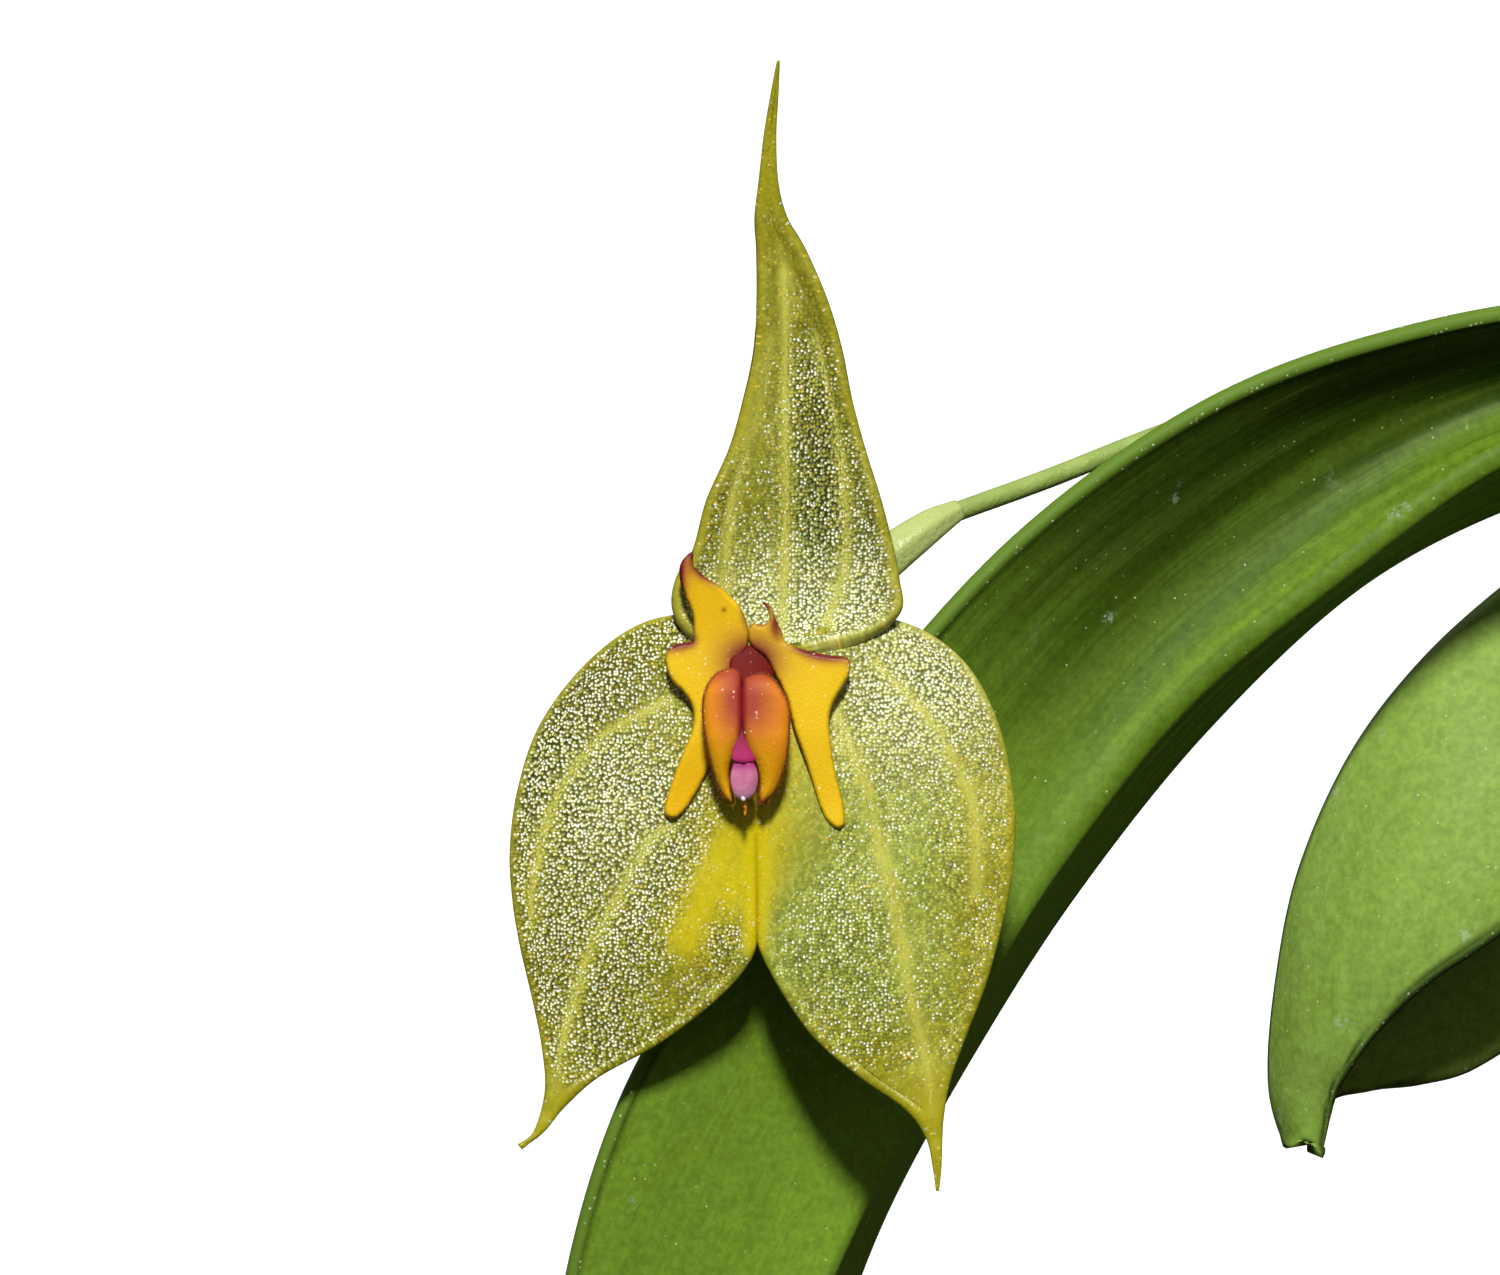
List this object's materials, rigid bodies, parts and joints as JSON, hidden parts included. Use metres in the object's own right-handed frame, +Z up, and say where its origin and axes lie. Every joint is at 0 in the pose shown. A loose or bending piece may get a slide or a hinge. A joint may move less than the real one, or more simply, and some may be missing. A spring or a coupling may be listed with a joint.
{
  "type": "potted lepanthes orchid",
  "caption": "Miniature orchid in a clay pot: thick leaves on slender sheathed stems above moss, with an open bloom of long-tailed sepals beside an arching leaf.",
  "frame": {"origin": "centre of the pot's flat underside", "axes": "+Z up the pot's axis, -Y the side that the open bloom faces, +X to the right as the bloom is looked at"},
  "size_m": [0.1225, 0.1223, 0.1419],
  "materials": {
    "clay": "unglazed fired clay, matt, lightly weathered",
    "moss": "damp moss, matt",
    "stem": "dry papery ribbed sheaths over a green stem",
    "leaf": "smooth fleshy leaf, soft gloss",
    "stalk": "smooth pale green",
    "sepal": "translucent yellow-green with a glittering cell surface",
    "petal": "waxy yellow with dark red tips",
    "lip": "waxy orange with crimson inner sides",
    "column": "waxy crimson with a lilac tip"
  },
  "bodies": {
    "root": {"pot": "clay", "moss": "moss", "column": "column", "flower_stalk": "stalk", "leaf_arching": "leaf", "leaf_back": "leaf", "leaf_back_left": "leaf", "leaf_back_right": "leaf", "leaf_front": "leaf", "leaf_front_right": "leaf", "leaf_hanging": "leaf", "leaf_left_back": "leaf", "leaf_left_front": "leaf", "leaf_right": "leaf", "leaf_right_back": "leaf", "leaf_right_front": "leaf", "lip": "lip", "lower_sepals": "sepal", "ovary": "stalk", "pedicel": "stalk", "petal_left": "petal", "petal_right": "petal", "stem_arching": "stem", "stem_back": "stem", "stem_back_left": "stem", "stem_back_right": "stem", "stem_front": "stem", "stem_front_right": "stem", "stem_hanging": "stem", "stem_left_back": "stem", "stem_left_front": "stem", "stem_right": "stem", "stem_right_back": "stem", "stem_right_front": "stem", "upper_sepal": "sepal"}
  },
  "joints": []
}
